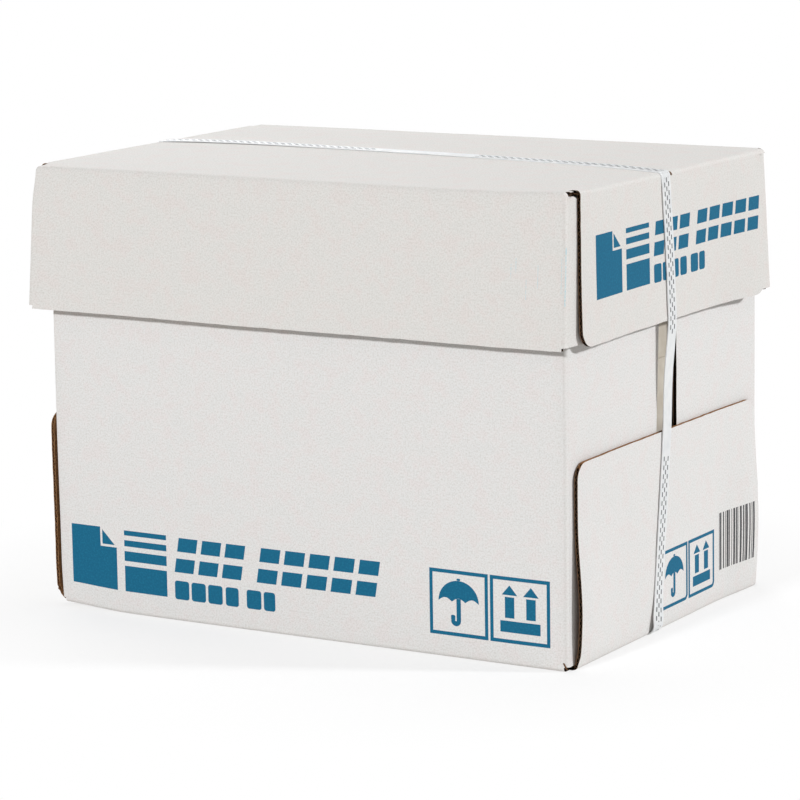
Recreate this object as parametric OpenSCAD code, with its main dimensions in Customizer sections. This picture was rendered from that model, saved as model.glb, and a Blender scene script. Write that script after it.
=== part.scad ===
// Strapped carton of wrapped copy paper: a folded tray and a lid that slips over it, both
// of corrugated board, five wrapped packs of sheets inside and one strap round the lot.
// The origin is the middle of the base. X runs along the carton, the front faces -Y.

/* [Paper] */
// Length of one sheet
sheet_l = 297; // [250:1:340]
// Width of one sheet
sheet_w = 210; // [170:1:250]
// Height of one wrapped pack of sheets
pack_h = 46.6; // [35:0.2:60]
// Number of packs in the stack
pack_count = 5; // [4:1:6]
// Thickness of the paper wrapped round a pack
wrap_t = 0.4; // [0.2:0.1:0.8]
// Radius of a pack's long edges
pack_edge_r = 1.5; // [0.5:0.1:4]
// How far each folded end of a wrapper reaches across the pack's end
wrap_fold_h = 27; // [10:1:30]
// Inset of the folded end at its free edge, on each side
wrap_fold_taper = 20; // [5:1:40]

/* [Board] */
// Thickness of the corrugated board
board_t = 1.9; // [1.6:0.1:3]
// Thickness of each flat liner of the board
liner_t = 0.3; // [0.2:0.05:0.4]
// Half the thickness of the fluted sheet between the liners
medium_half_t = 0.2; // [0.15:0.05:0.25]
// Distance from one flute to the next
flute_pitch = 3.2; // [2.8:0.1:5]
// Inside radius of a fold
crease_r = 0.4; // [0.2:0.1:0.8]

/* [Tray] */
// Room between the packs and each end wall
end_room = 3.2; // [1:0.1:6]
// Room between the packs and each long wall
side_room = 0.2; // [0.1:0.1:2]
// Room between the top pack and the lid
head_room = 1; // [0.3:0.1:4]
// Length of the tabs folded round from the front wall
front_tab_l = 100.5; // [60:0.5:102]
// Length of the tabs folded round from the back wall
back_tab_l = 93.8; // [60:0.5:102]
// Gap left between the foot of a tab and the bottom of the tray
tab_foot_gap = 0.6; // [0.2:0.1:2]
// Height of the glued end flaps
foot_flap_h = 104; // [60:1:140]
// Distance from a long wall to the edge of an end flap
foot_flap_inset = 6.5; // [3:0.5:20]
// Radius of the end flaps' upper corners
foot_flap_r = 8.5; // [3:0.5:20]

/* [Lid] */
// Gap between the tray's tabs and the lid's tabs
lid_end_play = 0.5; // [0.3:0.1:2]
// Gap between the tray's long walls and the lid's long walls
lid_side_play = 1.2; // [0.3:0.1:3]
// Height of the lid's walls
skirt_h = 76; // [50:1:110]
// Length of the tabs folded round inside the lid's end flaps
lid_tab_l = 80; // [40:1:85]
// How much shorter the tabs are than the lid's walls
lid_tab_short = 1.7; // [1:0.1:4]
// Height of the open slot over each tab, from the top of the lid
lid_slot_h = 4; // [3:0.5:8]
// Distance from a long wall to the edge of an end flap
lid_flap_inset = 11; // [5:0.5:20]
// Radius of the end flaps' lower corners
lid_flap_r = 8; // [3:0.5:20]

/* [Strap] */
// Width of the strap
strap_w = 9.8; // [6:0.1:15]
// Thickness of the strap
strap_t = 0.6; // [0.4:0.1:1.2]
// How high the slack strap stands off the lid
strap_rise = 3; // [1:0.5:8]
// How deep the strap presses into the lid's end edges
strap_bite = 0.6; // [0.2:0.1:1]
// Place across the carton of the strap at the left edge of the lid
strap_left_y = 13; // [-40:1:40]
// Place across the carton of the strap at the right edge of the lid
strap_right_y = -7; // [-40:1:40]
// Place across the carton of the strap at the lid's lower left edge
strap_left_mid_y = 10; // [-40:1:40]
// Place across the carton of the strap at the lid's lower right edge
strap_right_mid_y = -1; // [-40:1:40]
// Place across the carton of the strap at the left foot
strap_left_foot_y = 4; // [-40:1:40]
// Place across the carton of the strap at the right foot
strap_right_foot_y = -18; // [-40:1:40]

/* [Hidden] */
// Smoothness of the round folds and corners
$fn = 48;
// Outside radius of a fold
fold_r = crease_r + board_t;
// One wrapped pack
pack_l = sheet_l + 2*wrap_t;
pack_w = sheet_w + 2*wrap_t;
// The tray, over its walls and tabs
tray_l = pack_l + 2*end_room + 2*board_t;
tray_w = pack_w + 2*side_room + 2*board_t;
tray_h = board_t + pack_count*pack_h + head_room;
// Outside of the tray's end flaps, which lie on its tabs
foot_x = tray_l/2 + board_t;
foot_flap_w = tray_w - 2*foot_flap_inset;
// Outside of the lid's long walls, tabs and end flaps
lid_y = tray_w/2 + lid_side_play + board_t;
lid_tab_x = tray_l/2 + lid_end_play + board_t;
lid_end_x = lid_tab_x + board_t;
lid_top = tray_h + board_t;
lid_flap_w = 2*(lid_y - lid_flap_inset);
lid_foot = lid_top - skirt_h;
// Length of wall that each corner fold takes with it
fold_lap = 1;
// Depth of the open flute along the free edge of a tab
open_flute = flute_pitch/2 - medium_half_t;
// Centres of the strap's bends, at the lid's end edges and at the tray's feet
strap_top_x = lid_end_x - fold_r;
strap_top_z = lid_top - fold_r - strap_bite;
strap_foot_x = foot_x - fold_r;
strap_foot_z = fold_r + strap_t;
// How square the shoulders of the strap's slack are, and how many points draw it
slack_power = 8;
slack_points = 30;
bend_points = 6;
// Clear distance past the carton for the tools that cut the strap and the corners
past = 5;

// A fold seen end on. Its corner is at the origin, one arm runs to -X and the other to -Y.
module fold(arm_x, arm_y) {
    translate([-fold_r, -fold_r]) {
        translate([fold_r - arm_x, crease_r]) square([arm_x - fold_r, board_t]);
        intersection() {
            difference() {
                circle(fold_r);
                circle(crease_r);
            }
            square(fold_r);
        }
        translate([crease_r, fold_r - arm_y]) square([board_t, arm_y - fold_r]);
    }
}

// A panel with a wall folded down at both ends, seen end on
module channel(half_span, wall_h) {
    for (side = [0, 1]) mirror([side, 0]) translate([half_span, 0]) fold(half_span, wall_h);
}

// The hollows between a board's liners, seen end on, for a wall whose outside is at X = 0
// and which hangs down from the origin
module flutes(wall_h) {
    hollow = board_t - 2*liner_t;
    half_base = flute_pitch/2 - medium_half_t;
    point = hollow - medium_half_t;
    count = floor((wall_h - 2*liner_t)/flute_pitch);
    for (i = [0:count - 1]) translate([-liner_t, -liner_t - (i + 0.5)*flute_pitch]) {
        polygon([[0, -half_base], [0, half_base], [-point, 0]]);
        if (i < count - 1) translate([0, -flute_pitch/2])
            polygon([[-hollow, -half_base], [-hollow, half_base], [medium_half_t - hollow, 0]]);
    }
}

// An end flap's panel and both flaps, fluted right through and as wide as the flap
module fluted_ends(half_span, wall_h, width) {
    rotate([90, 0, 0]) linear_extrude(width, center = true) difference() {
        channel(half_span, wall_h);
        for (side = [0, 1]) mirror([side, 0]) translate([half_span, -fold_r]) flutes(wall_h - fold_r);
    }
}

// What is cut away to round the two free corners of both end flaps
module flap_corners(width, wall_h, r, half_span) {
    rotate([90, 0, 90]) linear_extrude(2*(half_span + past), center = true)
        for (side = [0, 1]) mirror([side, 0]) translate([width/2 - r, r - wall_h]) difference() {
            translate([0, -r - past]) square(r + past);
            circle(r);
        }
}

// A wall's end and the tab folded round from it, with the last flute open at the free edge
module tab_fold(tab_l) {
    difference() {
        fold(fold_r + fold_lap, tab_l);
        translate([liner_t - board_t, -tab_l]) square([board_t - 2*liner_t, open_flute]);
    }
}

// The tray's blank, folded up: bottom, long walls, tabs and the end flaps glued over them
module tray_blank() {
    mirror([0, 0, 1]) {
        rotate([90, 0, 90]) linear_extrude(tray_l - 2*fold_r, center = true) channel(tray_w/2, tray_h);
        difference() {
            fluted_ends(foot_x, foot_flap_h, foot_flap_w);
            flap_corners(foot_flap_w, foot_flap_h, foot_flap_r, foot_x);
        }
    }
    tab_foot = board_t + tab_foot_gap;
    for (end = [0, 1], front = [0, 1]) mirror([end, 0, 0]) mirror([0, front, 0])
        translate([tray_l/2, tray_w/2, tab_foot]) linear_extrude(tray_h - tab_foot)
            tab_fold(front == 1 ? front_tab_l : back_tab_l);
}

// The lid's blank, folded down the same way, with a slot left open over each tab
module lid_blank() {
    tab_drop = skirt_h - lid_tab_short;
    translate([0, 0, lid_top]) {
        rotate([90, 0, 90]) linear_extrude(2*(lid_tab_x - fold_r), center = true)
            channel(lid_y, skirt_h);
        difference() {
            fluted_ends(lid_end_x, skirt_h, lid_flap_w);
            flap_corners(lid_flap_w, skirt_h, lid_flap_r, lid_end_x);
        }
        for (end = [0, 1], front = [0, 1]) mirror([end, 0, 0]) mirror([0, front, 0])
            translate([lid_tab_x, lid_y, -tab_drop]) linear_extrude(tab_drop - lid_slot_h)
                tab_fold(lid_tab_l);
    }
}

// Points along a bend of the strap, which turns by a quarter from the angle given
function bend(x, z, r, from) = [for (i = [0:bend_points])
    let (a = from + 90*i/bend_points) [x + r*cos(a), z + r*sin(a)]];

// One face of the strap, seen from the front: its inside at 0 and its outside at strap_t
function strap_face(out) = concat(
    bend(strap_foot_x, strap_foot_z, fold_r + out, -90),
    [[foot_x + out, foot_flap_h], [lid_end_x + out, lid_foot]],
    bend(strap_top_x, strap_top_z, fold_r + out, 0),
    [for (i = [1:slack_points - 1]) let (u = cos(180*i/slack_points))
        [strap_top_x*u, lid_top - strap_bite + out + (strap_rise + strap_bite)*(1 - pow(u, slack_power))]],
    bend(-strap_top_x, strap_top_z, fold_r + out, 90),
    [[-lid_end_x - out, lid_foot], [-foot_x - out, foot_flap_h]],
    bend(-strap_foot_x, strap_foot_z, fold_r + out, 180));

// A band as wide as the strap along a line of [distance, place] points
module band(line) {
    last = len(line) - 1;
    polygon(concat(
        [for (p = line) p - [0, strap_w/2]],
        [for (i = [0:last]) line[last - i] + [0, strap_w/2]]));
}

// The slack loop of strap, which wanders across the carton as it goes round. A thickness
// past its own cuts away all the board outside its inner face.
module strap_loop(thickness) {
    reach = lid_end_x + strap_t + 2*past;
    across = 2*(abs(strap_left_y) + abs(strap_right_y) + abs(strap_left_foot_y) + abs(strap_right_foot_y))
        + 2*(abs(strap_left_mid_y) + abs(strap_right_mid_y)) + 2*strap_w;
    intersection() {
        rotate([90, 0, 0]) linear_extrude(across, center = true) difference() {
            polygon(strap_face(thickness));
            polygon(strap_face(0));
        }
        union() {
            translate([0, 0, strap_top_z]) linear_extrude(fold_r + strap_rise + 2*past)
                band([[-reach, strap_left_y], [-strap_top_x, strap_left_y],
                    [strap_top_x, strap_right_y], [reach, strap_right_y]]);
            translate([0, 0, -2*past]) linear_extrude(strap_foot_z + 2*past)
                band([[-reach, strap_left_foot_y], [-strap_foot_x, strap_left_foot_y],
                    [strap_foot_x, strap_right_foot_y], [reach, strap_right_foot_y]]);
            rotate([0, -90, 0]) linear_extrude(reach)
                band([[strap_foot_z, strap_left_foot_y], [lid_foot, strap_left_mid_y],
                    [strap_top_z, strap_left_y]]);
            translate([reach, 0, 0]) rotate([0, -90, 0]) linear_extrude(reach)
                band([[strap_foot_z, strap_right_foot_y], [lid_foot, strap_right_mid_y],
                    [strap_top_z, strap_right_y]]);
        }
    }
}

// The tray, with the groove that the strap presses under it
module carton_body() {
    color([0.89, 0.88, 0.87]) difference() {
        tray_blank();
        strap_loop(strap_t + past);
    }
}

// The lid, with the nicks that the strap presses into its end edges
module carton_lid() {
    color([0.86, 0.86, 0.84]) difference() {
        lid_blank();
        strap_loop(strap_t + past);
    }
}

// The strap
module strap() {
    color([0.93, 0.94, 0.95]) strap_loop(strap_t);
}

// One pack of sheets in its wrapper, with the wrapper's ends folded in from above and below
module ream(i) {
    color([0.85, 0.83, 0.79]) translate([0, 0, board_t + (i - 0.5)*pack_h]) {
        rotate([90, 0, 90]) linear_extrude(pack_l, center = true)
            for (turn = [0, 180]) rotate(turn) {
                translate([-pack_w/2, pack_edge_r - pack_h/2]) square([pack_w, pack_h/2 - pack_edge_r]);
                translate([pack_edge_r - pack_w/2, -pack_h/2]) square([pack_w - 2*pack_edge_r, pack_edge_r]);
                for (side = [-1, 1]) translate([side*(pack_w/2 - pack_edge_r), pack_edge_r - pack_h/2])
                    circle(pack_edge_r);
            }
        for (end = [0, 1]) mirror([end, 0, 0]) translate([pack_l/2, 0, 0]) rotate([90, 0, 90])
            for (turn = [0, 1]) rotate(180*turn) linear_extrude(wrap_t*(1 + turn))
                polygon([[pack_edge_r - pack_w/2, pack_edge_r - pack_h/2],
                    [pack_w/2 - pack_edge_r, pack_edge_r - pack_h/2],
                    [pack_w/2 - wrap_fold_taper, wrap_fold_h - pack_h/2],
                    [wrap_fold_taper - pack_w/2, wrap_fold_h - pack_h/2]]);
    }
}

carton_body();
carton_lid();
strap();
for (i = [1:pack_count]) ream(i);
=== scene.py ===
import math
import bmesh
import bpy
from mathutils import Matrix, Vector, noise


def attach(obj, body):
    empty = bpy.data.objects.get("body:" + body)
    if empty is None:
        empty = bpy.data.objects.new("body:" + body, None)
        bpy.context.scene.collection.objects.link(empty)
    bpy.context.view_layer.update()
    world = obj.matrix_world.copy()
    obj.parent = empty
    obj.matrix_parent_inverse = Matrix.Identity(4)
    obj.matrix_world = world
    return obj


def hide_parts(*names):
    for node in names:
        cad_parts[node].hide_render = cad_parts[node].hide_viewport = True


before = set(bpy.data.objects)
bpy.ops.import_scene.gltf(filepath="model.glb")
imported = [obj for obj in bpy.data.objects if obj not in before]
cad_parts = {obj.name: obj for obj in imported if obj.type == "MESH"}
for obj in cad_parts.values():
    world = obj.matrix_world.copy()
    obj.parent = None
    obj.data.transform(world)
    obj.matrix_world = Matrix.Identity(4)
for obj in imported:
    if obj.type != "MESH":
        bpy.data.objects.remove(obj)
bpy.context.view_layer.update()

# Wrapped packs. Five packs of sheets, each folded into plain wrapping paper, stand one on
# another in the tray. Their ends show in the gap between the tray's tabs.
WRAPPER_PAPER = "#CDC5B8"
WRAPPER_SHADE = "#C1B7A8"
WRAPPER_CLOUD_MM = 9.0
FIBRE_MM = 0.9
MM = 0.001


def linear(hex_colour):
    """An sRGB hex colour as the linear colour that a shader takes."""
    parts = [int(hex_colour[i:i + 2], 16) / 255 for i in (1, 3, 5)]
    return [c / 12.92 if c <= 0.04045 else ((c + 0.055) / 1.055) ** 2.4 for c in parts] + [1]


def add_node(tree, kind, settings=None, inputs=None):
    """Adds a shader node, sets its options, and sets or links its inputs."""
    node = tree.nodes.new("ShaderNode" + kind)
    for name, value in (settings or {}).items():
        setattr(node, name, value)
    for name, value in (inputs or {}).items():
        if isinstance(value, bpy.types.NodeSocket):
            tree.links.new(value, node.inputs[name])
        else:
            node.inputs[name].default_value = value
    return node


def new_material(name, **shader_values):
    """A material with its shader's own sockets set, with its tree and its shader."""
    material = bpy.data.materials.new(name)
    material.use_nodes = True
    tree = material.node_tree
    shader = tree.nodes["Principled BSDF"]
    for socket, value in shader_values.items():
        shader.inputs[socket.replace("_", " ")].default_value = value
    return material, tree, shader


def colour_in_clouds(tree, shader, place, size_mm, detail, stops):
    """Colours a material in clouds of a real size, between two stops of a position and a hex
    colour, and gives back the pattern of the clouds."""
    cloud = add_node(tree, "TexNoise", inputs={"Vector": place, "Scale": 1 / (size_mm * MM),
                                               "Detail": detail})
    tone = add_node(tree, "ValToRGB", inputs={"Fac": cloud.outputs["Fac"]})
    for stop, (position, colour) in zip(tone.color_ramp.elements, stops):
        stop.position, stop.color = position, linear(colour)
    tree.links.new(tone.outputs["Color"], shader.inputs["Base Color"])
    return cloud.outputs["Fac"]


def emboss(tree, shader, pattern, strength, depth_mm):
    """Presses a pattern into a material's surface."""
    relief = add_node(tree, "Bump", inputs={"Height": pattern, "Strength": strength,
                                            "Distance": depth_mm * MM})
    tree.links.new(relief.outputs["Normal"], shader.inputs["Normal"])


# Wrapping paper: sized kraft paper, matt, with the soft cloudy look of uneven fibres.
wrapper, tree, shader = new_material("wrapping_paper", Roughness=0.72, IOR=1.46)
place = add_node(tree, "TexCoord").outputs["Object"]
colour_in_clouds(tree, shader, place, WRAPPER_CLOUD_MM, 4, ((0.35, WRAPPER_SHADE), (0.65, WRAPPER_PAPER)))
fibre = add_node(tree, "TexNoise", inputs={"Vector": place, "Scale": 1 / (FIBRE_MM * MM), "Detail": 2})
emboss(tree, shader, fibre.outputs["Fac"], 0.3, 0.1)
for name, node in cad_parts.items():
    if name.startswith("ream_"):
        node.data.materials.clear()
        node.data.materials.append(wrapper)

# Tray. One blank of corrugated board, cut flat, creased and folded up: the long walls stand
# on the bottom, their tabs turn in over the packs' ends, and the end flaps are glued over
# the tabs. The board is a fluted sheet between two liners, white outside and brown inside.
BOARD_T = 1.9
LINER_T = 0.2
INNER_T = 0.3
MEDIUM_T = 0.16
FLUTE_PITCH = 3.2
FLUTE_STEPS = 8
FOLD_R = 2.3
FOLD_STEPS = 6
CORNER_STEPS = 6
CELL = 5.0
CUT_RAG, RAG_PER_MM = 0.25, 0.9
SHARP_ANGLE = 50
WORN_AND_SHADED_WIDTH = 3.4
TOUCH = 1e-4
AXES = (Vector((1, 0, 0)), Vector((0, 1, 0)))
tray_l, tray_w, tray_h = 308.0, 215.0, 235.9
foot_x = tray_l / 2 + BOARD_T
tab_foot = 2.5
front_tab_l, back_tab_l = 100.5, 93.8
foot_flap_h, foot_flap_y, foot_flap_r = 104.0, 101.0, 8.5
arc = FOLD_R * math.pi / 2


def turn(along, depth, crease):
    """A point of the flat board after the fold past a crease: how far out it is, and how
    deep inside the outer face."""
    past = abs(along) - crease
    if past <= 0:
        return along, depth
    angle = min(past / FOLD_R, math.pi / 2)
    out = crease + (FOLD_R - depth) * math.sin(angle)
    down = FOLD_R - (FOLD_R - depth) * math.cos(angle) + max(0, past - arc)
    return math.copysign(out, along), down


def folded(point, creases):
    """A point of the flat blank, printed face up at Z = 0, in the folded carton: across the
    length, across the width, and deep from the panel's outer face."""
    end_crease, tab_crease, wall_crease = creases
    crease = tab_crease if abs(point.y) > wall_crease else end_crease
    x, depth = turn(point.x, -point.z, crease)
    y, depth = turn(point.y, depth, wall_crease)
    return Vector((x, y, depth))


def past_fold(crease, height):
    """How far out on the blank a place lies that is so far from the face round the fold."""
    return crease + arc + height - FOLD_R


def spaced(start, end, step):
    """Places from start to end, evenly spaced by about a step."""
    count = max(1, round((end - start) / step))
    return [start + (end - start) * i / count for i in range(count + 1)]


def both_sides(places):
    return [-p for p in places] + list(places)


def cut(sheet, point, normal, **options):
    """Cuts the sheet by a plane. The options say what is cleared away."""
    parts = sheet.verts[:] + sheet.edges[:] + sheet.faces[:]
    bmesh.ops.bisect_plane(sheet, geom=parts, plane_co=point, plane_no=normal, **options)


def score(sheet, places, axis):
    """Cuts the sheet's faces along lines, without parting them."""
    for place in places:
        cut(sheet, AXES[axis] * place, AXES[axis], dist=TOUCH)


def trimmed(sheet, low, high):
    """A copy of the sheet, cut down to a rectangle."""
    piece = sheet.copy()
    for corner, sign in ((low, -1), (high, 1)):
        for axis in AXES:
            cut(piece, Vector((*corner, 0)), axis * sign, clear_outer=True)
    return piece


def add_rectangle(sheet, u0, u1, v0, v1):
    """A rectangle in the sheet's plane, and its vertices."""
    size = Matrix.Diagonal((u1 - u0, v1 - v0, 1, 1))
    middle = Matrix.Translation(((u0 + u1) / 2, (v0 + v1) / 2, 0))
    return bmesh.ops.create_grid(sheet, x_segments=1, y_segments=1, size=0.5, matrix=middle @ size)["verts"]


def round_off(sheet, verts, r):
    bmesh.ops.bevel(sheet, geom=verts, offset=r, segments=CORNER_STEPS, profile=0.5, affect="VERTICES",
                    material=-1)


def lay_blank(half_u, half_v, walls, flap, tabs, web):
    """The flat blank: its middle panel, two walls, and an end flap and two tabs on each end.
    walls is how far out the walls reach, flap is (reach, half width, corner radius), and tabs
    is a list of (side of the wall, reach, foot, head). At each tab's foot a three-cornered
    web of that width runs up to the corner."""
    sheet = bmesh.new()
    reach, half_flap, r = flap
    past_crease = half_u + 1
    add_rectangle(sheet, -half_u, half_u, -walls, walls)
    for end in (-1, 1):
        corners = add_rectangle(sheet, *sorted((end * half_u, end * reach)), -half_flap, half_flap)
        round_off(sheet, [v for v in corners if abs(v.co.x) > past_crease], r)
        for side, tab_reach, foot, head in tabs:
            add_rectangle(sheet, *sorted((end * half_u, end * tab_reach)),
                          *sorted((side * foot, side * head)))
            if web:
                corners = add_rectangle(sheet, *sorted((end * half_u, end * (half_u + web))),
                                        *sorted((side * half_v, side * foot)))
                for vert in corners:
                    if abs(vert.co.x) > past_crease:
                        vert.co.y = side * foot
    return sheet


def add_sheet(whole, part):
    """Adds a sheet to another and uses it up."""
    mesh = bpy.data.meshes.new("part")
    part.to_mesh(mesh)
    whole.from_mesh(mesh)
    bpy.data.meshes.remove(mesh)
    part.free()


def thicken(sheet, top, thickness):
    """Gives the flat sheet its thickness, with its upper face at the height given."""
    bmesh.ops.solidify(sheet, geom=sheet.faces[:], thickness=thickness)
    highest = max(v.co.z for v in sheet.verts)
    bmesh.ops.translate(sheet, verts=sheet.verts[:], vec=(0, 0, top - highest))


def new_object(name, data):
    """An object of that mesh, lamp or camera, put in the scene."""
    thing = bpy.data.objects.new(name, data)
    bpy.context.scene.collection.objects.link(thing)
    return thing


def as_piece(sheet, name, materials):
    """Makes a shaped closed sheet an object in metres, with its faces turned outwards."""
    bmesh.ops.recalc_face_normals(sheet, faces=sheet.faces[:])
    bmesh.ops.scale(sheet, vec=(MM, MM, MM), verts=sheet.verts[:])
    mesh = bpy.data.meshes.new(name)
    sheet.to_mesh(mesh)
    sheet.free()
    mesh.set_sharp_from_angle(angle=math.radians(SHARP_ANGLE))
    for material in materials:
        mesh.materials.append(material)
    piece = new_object(name, mesh)
    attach(piece, "root")
    return piece


def fold_up(sheet, name, shape, materials, face_kind=None, worn_and_shaded=None):
    """Folds a flat closed sheet into its shape and makes it a piece. The flat places stay on it as its UV
    map, in metres, so that the grain runs on round the folds, and how much wear and painted shade each place
    gets along the folds stays on it as an attribute."""
    for face in sheet.faces:
        face.material_index = face_kind(face) if face_kind else 0
        face.smooth = True
    flat = sheet.loops.layers.uv.new("blank")
    for face in sheet.faces:
        for loop in face.loops:
            loop[flat].uv = (loop.vert.co.x * MM, loop.vert.co.y * MM)
    if worn_and_shaded:
        fold_layer = sheet.verts.layers.float.new("worn_and_shaded")
        for vert in sheet.verts:
            vert[fold_layer] = worn_and_shaded(vert.co)
    for vert in sheet.verts:
        vert.co = shape(vert.co.copy())
    return as_piece(sheet, name, materials)


def near(distance, reach):
    """1 at no distance, falling smoothly to 0 at the reach."""
    share = max(0.0, 1 - abs(distance) / reach)
    return share * share * (3 - 2 * share)


def at_least(least, share):
    """A share that is raised so that it runs from the least to 1."""
    return least + (1 - least) * share


def fold_worn_and_shaded_share(creases, most):
    """A measure of how much wear and painted shade a place of the blank gets: none on the panels, rising to
    the most along the middle of each fold. The painted shade holds down the folds' highlight."""
    end_crease, tab_crease, wall_crease = creases

    def worn_and_shaded(flat):
        across = abs(flat.x) - arc / 2 - (tab_crease if abs(flat.y) > wall_crease else end_crease)
        return most * max(near(across, WORN_AND_SHADED_WIDTH), near(abs(flat.y) - arc / 2 - wall_crease, WORN_AND_SHADED_WIDTH))
    return worn_and_shaded


# How board that has been handled gives: long shallow waves all over. The noise is seeded, so
# that the waves and the frayed cuts are the same each time.
WANDER = 0.35
WANDER_MM = 90.0
NOISE_SEED = 2
noise.seed_set(NOISE_SEED)


def wander(point):
    return noise.noise_vector(point / WANDER_MM) * WANDER


# What has happened to this tray: the left end flap stands out along its front edge, and the
# right one bulges there and along its back edge, above their stiff feet. The right end leans
# out at the back, its front tab has slipped, and the bottom's front left corner is pushed up.
# A run is how far a dent or a bulge reaches.
LEFT_FLARE, LEFT_FLARE_LEAST, LEFT_FOOT_H = 5.6, 0.35, 6.0
RIGHT_BULGE, RIGHT_BULGE_LEAST, RIGHT_FOOT_H = 3.0, 0.2, 9.0
RIGHT_BULGE_Z, RIGHT_BULGE_RUN_Z = 28.0, 48.0
FRONT_EDGE_RUN = 52.0
BACK_BULGE, BACK_BULGE_RUN = 2.8, 40.0
BACK_BULGE_Z, BACK_BULGE_RUN_Z = 38.0, 66.0
BACK_LEAN, BACK_LEAN_RUN = 1.4, 60.0
TAB_SLIP, TAB_SLIP_Z = 0.05, 160.0
CORNER_IN, CORNER_IN_RUN = (0.5, 0.4), 18.0
CORNER_PUSH, CORNER_PUSH_RUN, CORNER_FLATNESS = 2.0, 44.0, 0.8
end_crease, tab_crease, wall_crease = foot_x - FOLD_R, tray_l / 2 - FOLD_R, tray_w / 2 - FOLD_R
tray_creases = (end_crease, tab_crease, wall_crease)

# The strap presses a groove under the bottom, askew from the left end to the right
STRAP_T, STRAP_W = 0.6, 9.2
strap_left_y, strap_right_y = 4.0, -18.0
GROOVE_ROOM, GROOVE_EASE, BOTTOM_SKIN = 1.0, 6.0, 1.0


def knocked_tray(flat, point):
    """A point of the folded tray after its handling."""
    x, y, z = point
    point = point + wander(point)
    flap = abs(flat.x) > end_crease and abs(flat.y) < wall_crease
    if flap:
        front = near(y + foot_flap_y, FRONT_EDGE_RUN)
        if x < 0:
            lifted = 1 - near(z, LEFT_FOOT_H)
            point.x -= LEFT_FLARE * front * at_least(LEFT_FLARE_LEAST, lifted)
        else:
            lifted = 1 - near(z, RIGHT_FOOT_H)
            belly = at_least(RIGHT_BULGE_LEAST, near(z - RIGHT_BULGE_Z, RIGHT_BULGE_RUN_Z))
            point.x += RIGHT_BULGE * front * lifted * belly
            back = near(y - foot_flap_y, BACK_BULGE_RUN)
            point.x += BACK_BULGE * back * near(z - BACK_BULGE_Z, BACK_BULGE_RUN_Z)
    if x > 0:
        point.x += BACK_LEAN * (x / foot_x) ** 2 * near(y - tray_w / 2, BACK_LEAN_RUN)
    if not flap and flat.x > tab_crease and y < 0:
        point.y -= TAB_SLIP * max(0, TAB_SLIP_Z - z) * (y + tray_w / 2) / front_tab_l
    corner = Vector((x + tray_l / 2, y + tray_w / 2, z * CORNER_FLATNESS)).length
    dented = near(corner, CORNER_IN_RUN)
    point += Vector((CORNER_IN[0] * dented, CORNER_IN[1] * dented,
                     CORNER_PUSH * near(corner, CORNER_PUSH_RUN)))
    if z < BOTTOM_SKIN:
        run = (x + tray_l / 2) / tray_l
        away = abs(y - strap_left_y - (strap_right_y - strap_left_y) * run)
        point.z = max(point.z, STRAP_T * near(max(0, away - STRAP_W / 2 - GROOVE_ROOM), GROOVE_EASE))
    return point


def tray_shape(flat):
    """From the flat blank to the tray as it is."""
    return knocked_tray(flat, folded(flat, tray_creases))


wall_reach = past_fold(wall_crease, tray_h)
flap_reach = past_fold(end_crease, foot_flap_h)
tab_at = past_fold(wall_crease, tab_foot)
tray_tabs = [(-1, past_fold(tab_crease, front_tab_l), tab_at, wall_reach),
             (1, past_fold(tab_crease, back_tab_l), tab_at, wall_reach)]
tray_blank = lay_blank(tab_crease, wall_crease, wall_reach, (flap_reach, foot_flap_y, foot_flap_r),
                       tray_tabs, 0)


def fold_lines(crease):
    return [crease + arc * i / FOLD_STEPS for i in range(FOLD_STEPS + 1)]


def score_lines(crease, more, start, reach):
    """Where a blank is scored along one axis: evenly between the creases, round the folds
    past them, at the places in more, and evenly from the start to the reach."""
    return (spaced(-crease, crease, CELL) + both_sides(fold_lines(crease)[1:]) + both_sides(more)
            + both_sides(spaced(start, reach, CELL)[1:-1]))


tray_lines = (score_lines(tab_crease, fold_lines(end_crease), end_crease + arc, flap_reach),
              score_lines(wall_crease, [foot_flap_y, tab_at], tab_at, wall_reach))
tray = (tray_shape, tray_lines, "carton_body", "tray_board")


def scored(sheet, lines):
    """A copy of the sheet, divided along all the lines, welded into one, and with its cut
    edges frayed a little, as a die leaves them."""
    sheet = sheet.copy()
    for axis in (0, 1):
        score(sheet, sorted(lines[axis]), axis)
    bmesh.ops.remove_doubles(sheet, verts=sheet.verts[:], dist=0.01)
    for vert in sheet.verts:
        if vert.is_boundary:
            vert.co += noise.noise_vector(vert.co * RAG_PER_MM) * CUT_RAG
            vert.co.z = 0
    return sheet


def fluting(blank, strips, lines):
    """The fluted sheet of the board, where cut edges show it: in each strip of the blank."""
    sheet = bmesh.new()
    step = FLUTE_PITCH / FLUTE_STEPS
    for low, high in strips:
        part = trimmed(blank, low, high)
        first, last = math.ceil(low[0] / step), math.floor(high[0] / step)
        score(part, [step * i for i in range(first, last + 1)], 0)
        score(part, [v for v in lines[1] if low[1] < v < high[1]], 1)
        add_sheet(sheet, part)
    rise = (BOARD_T - LINER_T - INNER_T - MEDIUM_T) / 2
    middle = -LINER_T - MEDIUM_T / 2 - rise
    for vert in sheet.verts:
        vert.co.z = middle + rise * math.cos(math.tau * vert.co.x / FLUTE_PITCH)
    bmesh.ops.recalc_face_normals(sheet, faces=sheet.faces[:])
    bmesh.ops.solidify(sheet, geom=sheet.faces[:], thickness=MEDIUM_T)
    return sheet


# White liner: bleached pulp laid thinly over brown, uncoated and matt, so it looks clouded with pink and
# green greys, and the flutes show through as faint ridges. Along the folds it turns greyer, partly as wear
# and partly as painted shade that holds down the folds' highlight.
TRAY_TINTS = ("#EBEBEA", "#EDECEB", "#EDE9E8")
SPECK = "#B9B2A8"
# The grey of the folds: wear, and painted shade that holds down their highlight
WORN_AND_SHADED_FOLD = "#DDDAD6"
CLOUD_MM = 11.0
SPECK_MM = 0.9
SPECK_MOST = 0.58
TRAY_RIDGE, LID_RIDGE = 0.01, 0.018


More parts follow.
